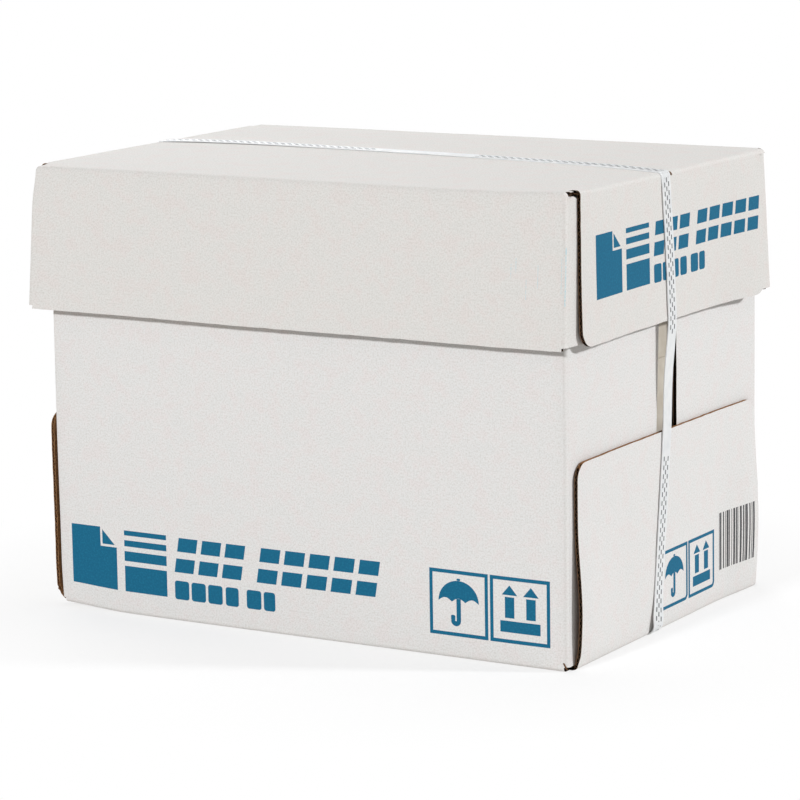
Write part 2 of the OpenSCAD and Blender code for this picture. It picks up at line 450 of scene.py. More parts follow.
def white_liner(name, tints, ridge):
    """White-topped liner. Its tints are its green grey, its lightest and its pink grey, and
    its ridge is how high the flutes stand through it, in mm."""
    green, light, pink = tints
    material, tree, shader = new_material(name, Roughness=0.78, IOR=1.48)
    flat = add_node(tree, "UVMap", {"uv_map": "blank"}).outputs["UV"]
    cloud = add_node(tree, "TexNoise", inputs={"Vector": flat, "Scale": 1 / (CLOUD_MM * MM), "Detail": 6,
                                               "Roughness": 0.65})
    hue = add_node(tree, "ValToRGB", inputs={"Fac": cloud.outputs["Fac"]})
    stops = hue.color_ramp.elements
    stops[0].position, stops[0].color = 0.40, linear(green)
    stops[1].position, stops[1].color = 0.60, linear(pink)
    middle = stops.new(0.5)
    middle.color = linear(light)
    speck = add_node(tree, "TexNoise", inputs={"Vector": flat, "Scale": 1 / (SPECK_MM * MM), "Detail": 3,
                                               "Roughness": 0.7})
    rare = add_node(tree, "MapRange", inputs={"Value": speck.outputs["Fac"], "From Min": 0.42,
                                              "From Max": 0.80, "To Min": 0.0, "To Max": SPECK_MOST})
    # Greyer along the folds: wear, and painted shade that holds down their highlight
    folds = add_node(tree, "Attribute", {"attribute_name": "worn_and_shaded"})
    white = hue.outputs["Color"]
    for share, colour in ((rare.outputs["Result"], SPECK), (folds.outputs["Fac"], WORN_AND_SHADED_FOLD)):
        white = add_node(tree, "Mix", {"data_type": "RGBA"},
                         {"Factor": share, "A": white, "B": linear(colour)}).outputs["Result"]
    flutes = add_node(tree, "TexWave", {"bands_direction": "X"},
                      {"Vector": flat, "Scale": math.tau / (20 * FLUTE_PITCH * MM), "Distortion": 0.4,
                       "Detail": 1, "Detail Scale": 0.3})
    ridges = add_node(tree, "Bump", inputs={"Height": flutes.outputs["Fac"], "Strength": 1.0,
                                            "Distance": ridge * MM})
    fibres = add_node(tree, "Bump", inputs={"Height": speck.outputs["Fac"], "Strength": 0.5,
                                            "Distance": 0.06 * MM, "Normal": ridges.outputs["Normal"]})
    tree.links.new(white, shader.inputs["Base Color"])
    tree.links.new(fibres.outputs["Normal"], shader.inputs["Normal"])
    return material


def brown_board(name, light, dark):
    """Unbleached kraft and recycled pulp: matt, mottled and fibrous where it is cut."""
    material, tree, shader = new_material(name, Roughness=0.85, IOR=1.46)
    place = add_node(tree, "TexCoord").outputs["Object"]
    fibre = colour_in_clouds(tree, shader, place, FIBRE_MM, 4, ((0.3, dark), (0.7, light)))
    emboss(tree, shader, fibre, 0.5, 0.1)
    return material


# Brown board at the cut edges, in two copies: a darker one at most of them, partly painted shade where they
# are seen in their depth, and a lighter one with painted light at the left end and along the top edge of the
# tray's right end flap.
kraft = brown_board("kraft_board", "#7A5A3E", "#523925")
kraft_painted_lit = brown_board("kraft_board_painted_lit_edge", "#AF8459", "#7A5230")

# Painted shade between the flutes: the brown board coloured almost black, since hardly any light gets in
# there from a cut edge.
flute_painted_shade, tree, shader = new_material("kraft_painted_shade_in_flutes", Roughness=0.9, IOR=1.3)
shader.inputs["Base Color"].default_value = linear("#17100B")

tray_white = white_liner("white_liner_tray", TRAY_TINTS, TRAY_RIDGE)
# LIT_EDGE is how far in from the right end flap's top edge the painted light reaches, in mm
LIT_EDGE = 3.0
EDGE_ON = 0.8


def gets_painted_light(face):
    """Whether the face gets the lighter brown with painted light: at the left end, or at the top edge of the
    tray's right end flap. No other edge is so far out."""
    along = face.calc_center_median().x
    return along < 0 or along > flap_reach - LIT_EDGE


def outer_kind(face):
    """0 for the white side of the outer liner, 1 for its cut edges, 2 for its back, which is painted shade,
    and 3 for either of these with painted light, at the left end and the right end flap's top edge."""
    heights = [v.co.z for v in face.verts]
    if min(heights) > -TOUCH:
        return 0
    if gets_painted_light(face):
        return 3
    return 2 if max(heights) < TOUCH - LINER_T else 1


def inner_kind(face):
    """0 for the inner liner's bare side and its cut edges, 1 for the side to the flutes, which is painted
    shade, and 2 for painted light at the left end and the right end flap's top edge."""
    if gets_painted_light(face):
        return 2
    return 1 if min(v.co.z for v in face.verts) > INNER_T - BOARD_T - TOUCH else 0


def flute_kind(face):
    """0 for the cut edges of the fluted sheet, 1 for its two sides, which are painted shade, and 2 for
    painted light at the left end and the right end flap's top edge."""
    if gets_painted_light(face):
        return 2
    return 0 if max(abs(face.normal.x), abs(face.normal.y)) > EDGE_ON else 1


def make_board(board, prefix, blank, strips, worn_and_shaded, white):
    """The three sheets of a folded board, which together stand for the CAD node."""
    shape, lines, node, slot = board
    outer = scored(blank, lines)
    inner = outer.copy()
    thicken(outer, 0, LINER_T)
    thicken(inner, INNER_T - BOARD_T, INNER_T)
    medium = fluting(blank, strips, lines)
    browns = [kraft, flute_painted_shade, kraft_painted_lit]
    for sheet, name, materials, kind in ((outer, "outer_liner", [white] + browns, outer_kind),
                                         (inner, "inner_liner", browns, inner_kind),
                                         (medium, "fluting", browns, flute_kind)):
        sheet.normal_update()
        piece = fold_up(sheet, prefix + name, shape, materials, kind, worn_and_shaded)
        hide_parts(node)


# Strips of fluting, as far in from the cut edges as the eye can see: here along the end
# flaps' side and top edges and the tabs' free edges
STRIP = 10.0


def strip(u0, u1, v0, v1):
    """A strip of the blank, as its low and its high corner."""
    return (min(u0, u1), min(v0, v1)), (max(u0, u1), max(v0, v1))


def flap_strips(end, crease, reach, half):
    """The strips along an end flap's two side edges and its free edge."""
    return [strip(end * crease, end * reach, -half, STRIP - half),
            strip(end * crease, end * reach, half - STRIP, half),
            strip(end * (reach - STRIP), end * reach, STRIP - half, half - STRIP)]


tray_strips = []
for end in (-1, 1):
    tray_strips += flap_strips(end, end_crease, flap_reach, foot_flap_y)
    for side, reach, foot, head in tray_tabs:
        tray_strips.append(strip(end * (reach - STRIP), end * reach, side * foot, side * head))
# How far the tray's folds are greyed, by wear and painted shade
TRAY_WORN_AND_SHADED = 0.3
make_board(tray, "tray_", tray_blank, tray_strips, fold_worn_and_shaded_share(tray_creases, TRAY_WORN_AND_SHADED), tray_white)

# Tray print. One blue ink, rolled onto the flat blank before it is folded: a page sign, a
# stack sign and two rows of plain blocks, and the common signs for keep dry and this way up.
INK_PROUD = 0.05
INK_SUNK = 0.12
INK_BLUE = "#046487"
INK_THIN = "#0E7395"


def block(art, x0, x1, z0, z1, slant=0.0, r=0.0, rounded=None):
    """A block of ink, leaning by the slant for each mm of height. Its corners are rounded by
    r, or only those that the test picks."""
    verts = add_rectangle(art, x0, x1, z0, z1)
    chosen = [v for v in verts if rounded(v.co)] if rounded else verts
    for vert in verts:
        vert.co.x += slant * (vert.co.y - z0)
    if r:
        round_off(art, chosen, r)


def hollow(art, stroke):
    """Takes the middle out of a shape and leaves its outline."""
    middle = art.faces[:]
    bmesh.ops.inset_region(art, faces=middle, thickness=stroke, use_even_offset=True, use_boundary=True)
    bmesh.ops.delete(art, geom=middle, context="FACES")


def window(art, x, z, size, stroke, r):
    """An outlined square box with its lower right corner rounded."""
    box = bmesh.new()
    block(box, x, x + size, z, z + size, 0, r, lambda at: at.x > x + 1 and at.y < z + 1)
    hollow(box, stroke)
    add_sheet(art, box)


def umbrella(art, x, z, size):
    """The keep dry sign in a box of that size, with its middle and foot at (x, z): a canopy
    with three scallops, its tip, the stick and the hook."""
    half, stick, ring = 0.345 * size, 0.037 * size, 0.048 * size
    brim, foot, hook_end = 0.52 * size, 0.234 * size, 0.085 * size
    scallop, flatness, tip_foot, tip_top = 0.17 * half, 0.94, 0.945 * half, 1.04 * half
    canopy = bmesh.new()
    bmesh.ops.create_circle(canopy, cap_ends=True, segments=48, radius=half)
    cut(canopy, (0, 0, 0), (0, 1, 0), clear_inner=True)
    rim = [e for e in canopy.edges if all(abs(v.co.y) < TOUCH for v in e.verts)]
    bmesh.ops.subdivide_edges(canopy, edges=rim, cuts=35)
    for vert in canopy.verts:
        if abs(vert.co.y) < TOUCH and abs(vert.co.x) < half - TOUCH:
            vert.co.y = scallop * abs(math.sin(1.5 * math.pi * (vert.co.x / half + 1)))
    bmesh.ops.scale(canopy, vec=(1, flatness, 1), verts=canopy.verts[:])
    bmesh.ops.translate(canopy, verts=canopy.verts[:], vec=(x, z + brim, 0))
    add_sheet(art, canopy)
    block(art, x - 0.8 * stick, x + 0.8 * stick, z + brim + tip_foot, z + brim + tip_top, 0, 0.3 * stick)
    block(art, x - stick, x + stick, z + foot, z + brim + 0.15 * half)
    block(art, x - 2 * ring - stick, x - 2 * ring + stick, z + foot, z + foot + hook_end, 0, 0.6 * stick)
    hook = bmesh.new()
    bmesh.ops.create_circle(hook, cap_ends=True, segments=32, radius=ring + stick)
    hollow(hook, 2 * stick)
    cut(hook, (0, 0, 0), (0, 1, 0), clear_outer=True)
    bmesh.ops.translate(hook, verts=hook.verts[:], vec=(x - ring, z + foot + 0.1, 0))
    add_sheet(art, hook)


def arrow(art, x, z, width, height):
    """One arrow of the this way up sign: a head and a separate stem."""
    head_share, stem_share, half_stem = 0.30, 0.64, 0.305 * width
    head = bmesh.new()
    bmesh.ops.create_circle(head, cap_ends=True, segments=3, radius=1)
    top = max(v.co.y for v in head.verts)
    low = min(v.co.y for v in head.verts)
    wide = max(abs(v.co.x) for v in head.verts)
    bmesh.ops.scale(head, verts=head.verts[:],
                    vec=(width / 2 / wide, head_share * height / (top - low), 1))
    low = min(v.co.y for v in head.verts)
    bmesh.ops.translate(head, verts=head.verts[:], vec=(x, z + (1 - head_share) * height - low, 0))
    add_sheet(art, head)
    block(art, x - half_stem, x + half_stem, z, z + stem_share * height)


def handling_signs(art, x, z, size, r):
    """Both signs in their boxes, side by side, from their lower left corner. The boxes'
    lower right corners are rounded by r. Under the arrows lies a bar."""
    gap, stroke = 0.035 * size, 0.055 * size
    arrow_z, arrow_w, arrow_h = 0.379 * size, 0.257 * size, 0.493 * size
    right = x + size + gap
    for left in (x, right):
        window(art, left, z, size, stroke, r)
    umbrella(art, x + size / 2, z, size)
    block(art, right + 0.17 * size, right + 0.84 * size, z + 0.163 * size, z + 0.335 * size)
    for share in (0.328, 0.684):
        arrow(art, right + share * size, z + arrow_z, arrow_w, arrow_h)


def page_sign(art, x, z, width, height):
    """A page in solid ink, with its corner turned down."""
    turned, gap, inset = 0.36 * width, 1.3, 0.4
    block(art, x, x + width, z, z + height - turned)
    block(art, x, x + width - turned, z + height - turned, z + height)
    ear = bmesh.new()
    add_rectangle(ear, x + width - turned + gap, x + width - inset,
                  z + height - turned + gap, z + height - inset)
    cut(ear, (x + width, z + height - turned, 0), (1, 1, 0), clear_outer=True)
    add_sheet(art, ear)


def stack_sign(art, x, z, width, height):
    """A stack of sheets seen from its edge: a thick block with thinner ones over it."""
    for low, high in ((0, 0.42), (0.5, 0.66), (0.74, 0.84), (0.92, 1)):
        block(art, x, x + width, z + low * height, z + high * height)


def block_row(art, x0, x1, z0, z1, groups, slant):
    """A row of leaning pairs of bars, one over the other. groups is how many pairs stand
    together each time, with a wider space between the groups."""
    space, solid, height = 0.45, 0.80, z1 - z0
    pitch = (x1 - x0 - slant * height) / (sum(groups) + space * (len(groups) - 1))
    left = x0
    for group in groups:
        for i in range(group):
            for low, high in ((0, 0.40), (0.60, 1)):
                foot = left + slant * low * height
                block(art, foot, foot + solid * pitch, z0 + low * height, z0 + high * height, slant)
            left += pitch
        left += space * pitch


# The print's own sizes at full scale, in mm from its lower left corner
PAGE_W, PAGE_H = 29, 33.5
STACK_X, STACK_W, STACK_H = 34, 27, 33
ROWS_X, ROW_END = 66, 195
UPPER_ROW, UPPER_GROUPS, UPPER_SLANT = (14, 32.5), (3, 5), 0.17
LOWER_ROW, LOWER_R = (-0.5, 9.5), 1.5
LOWER_BLOCKS = ((0, 9), (10.5, 9), (21, 9), (32, 8), (45, 9), (55.5, 7))


def carton_print(art, x, z, scale=1.0):
    """The page sign, the stack sign and the two rows of blocks, from their lower left."""
    page_sign(art, x, z, PAGE_W * scale, PAGE_H * scale)
    stack_sign(art, x + STACK_X * scale, z, STACK_W * scale, STACK_H * scale)
    low, high = (z + height * scale for height in UPPER_ROW)
    block_row(art, x + ROWS_X * scale, x + ROW_END * scale, low, high, UPPER_GROUPS, UPPER_SLANT)
    low, high = (z + height * scale for height in LOWER_ROW)
    for left, width in LOWER_BLOCKS:
        block(art, x + (ROWS_X + left) * scale, x + (ROWS_X + left + width) * scale, low, high, 0,
              LOWER_R * scale)


def dried_ink(name, cloud_mm, detail, stops, tooth=0.0, **shader_values):
    """Ink on the flat blank or band, a little thin in clouds. With a tooth it sinks in there."""
    material, tree, shader = new_material(name, **shader_values)
    flat = add_node(tree, "UVMap", {"uv_map": "blank"}).outputs["UV"]
    cover = colour_in_clouds(tree, shader, flat, cloud_mm, detail, stops)
    if tooth:
        emboss(tree, shader, cover, tooth, 0.05)
    return material


# Water-based ink soaks into the liner and dries matt, a little thin where the flutes dip.
ink = dried_ink("carton_ink", 1.2 * SPECK_MM, 3, ((0.45, INK_BLUE), (0.75, INK_THIN)), 0.4,
                Roughness=0.7, IOR=1.35)


def print_on(board, art, name, place, material):
    """Lays the artwork on the flat blank by the place given, scores it as the board is, gives
    it the ink's thickness and folds it with the board."""
    shape, lines, _, slot = board
    bmesh.ops.transform(art, matrix=place, verts=art.verts[:])
    low, high = ([pick(v.co[axis] for v in art.verts) for axis in (0, 1)] for pick in (min, max))
    for axis in (0, 1):
        score(art, [p for p in sorted(lines[axis]) if low[axis] < p < high[axis]], axis)
    bmesh.ops.remove_doubles(art, verts=art.verts[:], dist=0.005)
    bmesh.ops.recalc_face_normals(art, faces=art.faces[:])
    thicken(art, INK_PROUD, INK_PROUD + INK_SUNK)
    fold_up(art, name, shape, [material])


# Where artwork lies on the blank: on the front wall and on the right end flap alike, its
# height runs outwards from the fold.
wall_foot, flap_foot = past_fold(wall_crease, 0), past_fold(end_crease, 0)
on_front = Matrix(((1, 0, 0, 0), (0, -1, 0, -wall_foot), (0, 0, 1, 0), (0, 0, 0, 1)))
on_right_flap = Matrix(((0, 1, 0, flap_foot), (1, 0, 0, 0), (0, 0, 1, 0), (0, 0, 0, 1)))
FRONT_PRINT_AT = (-145.5, 12.4)
FRONT_SIGNS_AT, FRONT_SIGN = (75.5, 11.5), 33.8
FLAP_SIGNS_AT, FLAP_SIGN, FLAP_SIGN_R = (-8.8, 9.7), 31.0, 3.2
front_art = bmesh.new()
carton_print(front_art, *FRONT_PRINT_AT)
handling_signs(front_art, *FRONT_SIGNS_AT, FRONT_SIGN, 0)
print_on(tray, front_art, "tray_print_front", on_front, ink)
flap_art = bmesh.new()
handling_signs(flap_art, *FLAP_SIGNS_AT, FLAP_SIGN, FLAP_SIGN_R)
print_on(tray, flap_art, "tray_print_flap", on_right_flap, ink)

# Torn strip. At the foot of the near corner a sliver of the white liner has been pulled off,
# and the brown board under it shows.
TEAR_BOX, TEAR_SLANT, TEAR_R = (153.0, 154.0, 1.2, 4.8), -0.55, 0.3
tear_art = bmesh.new()
block(tear_art, *TEAR_BOX, TEAR_SLANT, TEAR_R)
print_on(tray, tear_art, "tray_tear", on_front, kraft)

# Packing mark. A plain field of black upright stripes of a few widths, printed on the tray's
# right end flap in black carton ink, which dries matt with a faint mottle.
INK_BLACK = "#2B2B2E"
INK_BLACK_THIN = "#45454A"
STRIPE_UNIT, STRIPE_GAP = 0.55, 0.8
FIELD_LEFT, FIELD_RIGHT, FIELD_LOW, FIELD_HIGH = 60.3, 95.4, 17.2, 48.2
black_ink = dried_ink("black_carton_ink", SPECK_MM, 3, ((0, INK_BLACK), (1, INK_BLACK_THIN)),
                      Roughness=0.6, IOR=1.5)
stripe_art = bmesh.new()
left, count = FIELD_LEFT, 0
while left < FIELD_RIGHT:
    width = STRIPE_UNIT * (1 + (count * 5) % 3)
    block(stripe_art, left, left + width, FIELD_LOW, FIELD_HIGH)
    left += width + STRIPE_UNIT * (1 + (count * 7) % 4) * STRIPE_GAP
    count += 1
print_on(tray, stripe_art, "tray_print_stripes", on_right_flap, black_ink)

# Lid. A second blank of the same board, folded down the same way: the tabs turn in behind
# the end flaps, which hang over them. It slips over the tray and rests on its top edges.
lid_end_x, lid_tab_x, lid_y, lid_top, skirt_h = 158.3, 156.4, 110.6, 237.8, 76.0
lid_tab_l, lid_slot_h, lid_tab_drop = 80.0, 4.0, 74.3
lid_flap_y, lid_flap_r = 99.6, 9.0
lid_end_crease, lid_tab_crease, lid_wall_crease = lid_end_x - FOLD_R, lid_tab_x - FOLD_R, lid_y - FOLD_R
lid_creases = (lid_end_crease, lid_tab_crease, lid_wall_crease)
LID_TINTS = ("#E6E5E2", "#E8E6E3", "#E8E3E0")

# What has happened to this lid: its skirts stand away from the tray, most at the left end
# and the back right corner, where its ends are also pushed out. The top is crowned, its
# front left corner is knocked in, and its front right corner is lifted a little.
SKIRT_OUT = 3.6
LEFT_OUT, LEFT_OUT_LEAST, LEFT_OUT_RUN = 7.0, 0.3, 150.0
RIGHT_OUT, BACK_OUT, BACK_RUN = 1.2, 5.5, 70.0
END_STIFFNESS = 12
LEFT_LONG, LEFT_TUCK = 5.0, 3.2
BACK_LONG = 2.2
FLAP_OUT, FLAP_OUT_RUN = 1.5, 60.0
LID_CROWN, CROWN_ENDS = 1.6, 6
LID_PUSH, LID_PUSH_RUN, LID_PUSH_FLATNESS = (1.0, 1.2, -0.6), 16.0, 0.7
NEAR_LIFT, NEAR_LIFT_RUN = 1.3, 40.0


def knocked_lid(flat, point):
    """A point of the folded lid after its handling."""
    x, y, z = point
    point = point + wander(point)
    drop = (lid_top - z) / skirt_h
    front = max(0.0, -y / lid_y)
    back = near(y - lid_y, BACK_RUN)
    point.y -= SKIRT_OUT * drop * front * front
    if x < 0:
        out = LEFT_OUT * at_least(LEFT_OUT_LEAST, near(y + lid_y, LEFT_OUT_RUN))
    else:
        out = RIGHT_OUT + BACK_OUT * back
    point.x += math.copysign(out, x) * drop * min(1, abs(x / lid_tab_x)) ** END_STIFFNESS
    top = max(0.0, 1 - drop * CROWN_ENDS)
    point.z += LID_CROWN * top * (1 - (x / lid_tab_x) ** 4) * (1 - (y / lid_y) ** 2)
    if x < 0:
        point.x -= (LEFT_LONG - LEFT_TUCK * drop) * (x / lid_tab_x) ** 2
    else:
        point.x += BACK_LONG * (1 - drop) * (x / lid_tab_x) ** 4 * back
        if flat.x > lid_end_crease and abs(flat.y) < lid_wall_crease:
            point.x += FLAP_OUT * drop * drop * near(y + lid_flap_y, FLAP_OUT_RUN)
    corner = Vector((x + lid_tab_x, y + lid_y, (z - lid_top) * LID_PUSH_FLATNESS)).length
    push = near(corner, LID_PUSH_RUN)
    point += Vector([by * push for by in LID_PUSH])
    near_corner = Vector((x - lid_tab_x, y + lid_y, z - lid_top)).length
    point.z += NEAR_LIFT * near(near_corner, NEAR_LIFT_RUN)
    return point


def lid_shape(flat):
    """From the flat blank to the lid as it is."""
    x, y, depth = folded(flat, lid_creases)
    return knocked_lid(flat, Vector((x, y, lid_top - depth)))


skirt_reach = past_fold(lid_wall_crease, skirt_h)
lid_flap_reach = past_fold(lid_end_crease, skirt_h)
slot_at = past_fold(lid_wall_crease, lid_slot_h)
lid_tab_end = past_fold(lid_wall_crease, lid_tab_drop)
lid_tabs = [(side, past_fold(lid_tab_crease, lid_tab_l), slot_at, lid_tab_end) for side in (-1, 1)]
LID_WEB = 12.0
lid_blank = lay_blank(lid_tab_crease, lid_wall_crease, skirt_reach,
                      (lid_flap_reach, lid_flap_y, lid_flap_r), lid_tabs, LID_WEB)

# At the right end the slots were cut short, so that a little of the top is left beside them
SLOT_LEFT = 6.5
FRONT_SLOT = 4.8
FRONT_CUT = 0.7
front_cut_at = lid_wall_crease - FRONT_CUT
add_rectangle(lid_blank, lid_tab_crease, lid_end_crease + arc, lid_flap_y, lid_flap_y + SLOT_LEFT)
add_rectangle(lid_blank, lid_tab_crease, fold_lines(lid_end_crease)[2], -front_cut_at,
              -lid_flap_y - FRONT_SLOT)
add_rectangle(lid_blank, lid_tab_crease, lid_end_crease, -lid_wall_crease, -front_cut_at)
lid_edges = [lid_flap_y, lid_flap_y + FRONT_SLOT, lid_flap_y + SLOT_LEFT, front_cut_at, slot_at,
             lid_tab_end]
lid_lines = (score_lines(lid_tab_crease, fold_lines(lid_end_crease), lid_end_crease + arc, lid_flap_reach),
             score_lines(lid_wall_crease, lid_edges, slot_at, lid_tab_end))
lid = (lid_shape, lid_lines, "carton_lid", "lid_board")

# Strips of fluting in the lid: along the end flaps' edges, and narrower ones along the lower
# edges of the tabs and the skirts
lid_strips = []
for end in (-1, 1):
    lid_strips += flap_strips(end, lid_end_crease, lid_flap_reach, lid_flap_y)
    for side, reach, foot, head in lid_tabs:
        lid_strips.append(strip(end * (lid_tab_crease + arc), end * reach,
                                side * (head - STRIP / 2), side * head))
for side in (-1, 1):
    lid_strips.append(strip(-lid_tab_crease, lid_tab_crease,
                            side * (skirt_reach - STRIP / 2), side * skirt_reach))
# How far the lid's folds are greyed, by wear and painted shade
LID_WORN_AND_SHADED = 0.1
lid_white = white_liner("white_liner_lid", LID_TINTS, LID_RIDGE)
make_board(lid, "lid_", lid_blank, lid_strips, fold_worn_and_shaded_share(lid_creases, LID_WORN_AND_SHADED), lid_white)

# Lid print. The same ink, signs and blocks, a little smaller, on the lid's right end flap.
# That flap hangs down, so the artwork's height runs towards the fold on the blank.
LID_PRINT_AT, LID_PRINT_SCALE = (-84.5, 183.5), 0.945
lid_head = past_fold(lid_end_crease, 0) + lid_top
on_lid_flap = Matrix(((0, -1, 0, lid_head), (1, 0, 0, 0), (0, 0, 1, 0), (0, 0, 0, 1)))
lid_art = bmesh.new()
carton_print(lid_art, *LID_PRINT_AT, LID_PRINT_SCALE)
print_on(lid, lid_art, "lid_print", on_lid_flap, ink)

# Lid wear. Faint blue rubs of ink beside the front skirt's right end, and a small hole that
# the strap has worn through the white liner where it crosses the end fold.
SCUFF_BLUE = "#C3D9DE"
SCUFF_FADED = "#E2E3E1"
SCUFF_SLANT = 0.02
SCUFFS = ((155.3, 0.7, 184, 212), (153.6, 0.3, 190, 207), (141.0, 0.3, 192, 203),
          (129.0, 0.3, 199, 206), (126.2, 0.4, 196, 203), (134.6, 0.3, 186, 196))
scuff = dried_ink("ink_rubbed_on", SPECK_MM, 3, ((0.42, SCUFF_BLUE), (0.62, SCUFF_FADED)),
                  Roughness=0.75, IOR=1.45)
scuff_art = bmesh.new()
lid_brow = past_fold(lid_wall_crease, 0) + lid_top
for left, width, low, high in SCUFFS:
    block(scuff_art, left, left + width, low, high, SCUFF_SLANT)
print_on(lid, scuff_art, "lid_scuffs", Matrix.Translation((0, -lid_brow, 0)), scuff)
HOLE_START, HOLE_END, HOLE_BACK, HOLE_FRONT = 0.2, 2.6, -3.6, 0.2
HOLE_SLANT, HOLE_R = 0.3, 0.8
hole_art = bmesh.new()
block(hole_art, lid_end_crease + HOLE_START, lid_end_crease + HOLE_END, HOLE_BACK, HOLE_FRONT,
      HOLE_SLANT, HOLE_R)
print_on(lid, hole_art, "lid_worn_hole", Matrix.Identity(4), kraft)

# Strap. One band of white polypropylene, rolled with a fine waffle so that it grips, welded
# round the carton's length. It has gone slack: it lies along the crowned top, stands off the
# end flaps here and there, and turns in wide under the right one's foot.
STRAP_STEP = 2.5
BEND_STEPS = 5
bend_r = FOLD_R + STRAP_T / 2
strap_top_x, strap_top_z = lid_end_x - FOLD_R, lid_top - FOLD_R
strap_foot_x, strap_foot_z = foot_x - FOLD_R, FOLD_R + STRAP_T


def bend(x, z, r, start, y0, y1):
    """Points round a quarter turn of the strap, clockwise as the front sees it."""
    points = []
    for i in range(BEND_STEPS + 1):
        angle = math.radians(start - 90 * i / BEND_STEPS)
        across = y0 + (y1 - y0) * i / BEND_STEPS
        points.append(Vector((x + r * math.cos(angle), across, z + r * math.sin(angle))))
    return points


# The route: the left bend, the top, the right bend, the right end, the loose bend at its foot, the bottom,
# the last bend and the left end
half_t = STRAP_T / 2
LOOSE_X, LOOSE_R = 158.1, 4.6
foot_middle, foot_swing = (strap_left_y + strap_right_y) / 2, (strap_right_y - strap_left_y) / 2
strap_points = (
    bend(-strap_top_x - LEFT_LONG, strap_top_z, bend_r, 180, 13.2, 13.0)
    + [Vector(p) for p in ((-152, 12.6, 238.7), (-132, 11.9, 239.3), (-90, 10.2, 239.8), (-30, 7.0, 239.8),
                           (30, 3.6, 239.7), (90, -1.0, 239.4), (128, -4.2, 239.0), (146, -6.4, 238.5))]
    + bend(strap_top_x, strap_top_z, bend_r, 90, -7.4, -7.8)
    + [Vector(p) for p in ((159.0, -7.0, 222), (159.35, -4.9, 198), (159.9, -3.8, 172), (159.9, -3.2, 160),
                           (158.0, -3.9, 133), (156.5, -2.7, 104), (156.4, -5.9, 73), (156.4, -9.4, 45),
                           (156.5, -12.5, 19))]
    + bend(LOOSE_X - LOOSE_R, LOOSE_R + half_t, LOOSE_R, 0, -16.3, -18.5)
    + [Vector((x, foot_middle + foot_swing * x / strap_foot_x, half_t)) for x in (148, 120, 0, -100, -146)]
    + bend(-strap_foot_x, strap_foot_z, bend_r, -90, strap_left_y, strap_left_y)
    + [Vector(p) for p in ((-157.4, 6.0, 60), (-157.6, 8.0, 108), (-164.2, 10.0, 163), (-164.5, 12.0, 200))])


def along_route(points, step):
    """A smooth closed route through the points, as places evenly spaced by about a step."""
    count = len(points)
    route = []
    for i in range(count):
        before, here, there, after = (points[(i + k) % count] for k in (-1, 0, 1, 2))
        span = (there - here).length
        lead_in, lead_out = (here - before).length, (after - there).length
        if span < TOUCH:
            continue
        leave = (there - before) * span / (lead_in + span)
        arrive = (after - here) * span / (span + lead_out)
        pieces = max(1, round(span / step))
        for k in range(pieces):
            t = k / pieces
            route.append(here * (2 * t ** 3 - 3 * t ** 2 + 1) + leave * (t ** 3 - 2 * t ** 2 + t)
                         + there * (3 * t ** 2 - 2 * t ** 3) + arrive * (t ** 3 - t ** 2))
    return route


strap_route = along_route(strap_points, STRAP_STEP)
strap_count = len(strap_route)
strap_lengths = [0.0]
for i in range(strap_count):
    strap_lengths.append(strap_lengths[-1] + (strap_route[(i + 1) % strap_count] - strap_route[i]).length)
TWIST, TWIST_Z, TWIST_RUN = 5, 8, 7.6


def strap_twist(point):
    """How far the slack strap is turned about its own run, in degrees: near its right foot."""
    return TWIST * near(point.z - TWIST_Z, TWIST_RUN) if point.x > 0 else 0.0


def on_strap(flat):
    """A point of the flat strap in its place. Its x counts points of the route, so 2.5 is
    halfway from the third to the fourth, its y is across, and its z is off the middle."""
    i = math.floor(flat.x)
    before, here, there, after = (strap_route[(i + k) % strap_count] for k in (-1, 0, 1, 2))
    share = flat.x - i
    heading = ((there - before) * (1 - share) + (after - here) * share).normalized()
    out = Vector((-heading.z, 0, heading.x)).normalized()
    side = heading.cross(out).normalized()
    twist = Matrix.Rotation(math.radians(strap_twist(here)), 3, heading)
    return here.lerp(there, share) + twist @ (side * flat.y + out * flat.z)


# Polypropylene film: white, half clear and slightly shiny, with its rolled waffle drawn a
# little coarser than it is so that it shows.
STRAP_WHITE = "#F0F2F3"
STRAP_GREY = "#E8EBED"
STRAP_CLOUD_MM = 6
WAFFLE_MM = 1.1
strap_film, tree, shader = new_material("strap_polypropylene", Roughness=0.45, IOR=1.49,
                                        Subsurface_Weight=0.6, Subsurface_Scale=1.0 * MM,
                                        Subsurface_Radius=(1, 1, 1))
run = add_node(tree, "UVMap", {"uv_map": "blank"}).outputs["UV"]
rows = []
for angle in (45, -45):
    turned = add_node(tree, "Mapping", inputs={"Vector": run, "Rotation": (0, 0, math.radians(angle))})
    rows.append(add_node(tree, "TexWave", inputs={"Vector": turned.outputs["Vector"],
                                                  "Scale": math.tau / (20 * WAFFLE_MM * MM)}))
waffle = add_node(tree, "Math", {"operation": "MULTIPLY"}, {0: rows[0].outputs["Fac"],
                                                            1: rows[1].outputs["Fac"]})
colour_in_clouds(tree, shader, run, STRAP_CLOUD_MM, 3, ((0.35, STRAP_GREY), (0.6, STRAP_WHITE)))
emboss(tree, shader, waffle.outputs["Value"], 0.6, 0.05)


def strap_piece(sheet, name, material):
    """Lays a flat closed sheet along the route and makes it a piece. Its UV map is in metres
    along the strap and across it."""
    flat = sheet.loops.layers.uv.new("blank")
    for face in sheet.faces:
        face.smooth = True
        for loop in face.loops:
            at = loop.vert.co.x
            i = min(int(at), strap_count - 1)
            length = strap_lengths[i] + (strap_lengths[i + 1] - strap_lengths[i]) * (at - i)
            loop[flat].uv = (length * MM, loop.vert.co.y * MM)
    for vert in sheet.verts:
        vert.co = on_strap(vert.co.copy())
    bmesh.ops.remove_doubles(sheet, verts=sheet.verts[:], dist=0.001)
    return as_piece(sheet, name, [material])


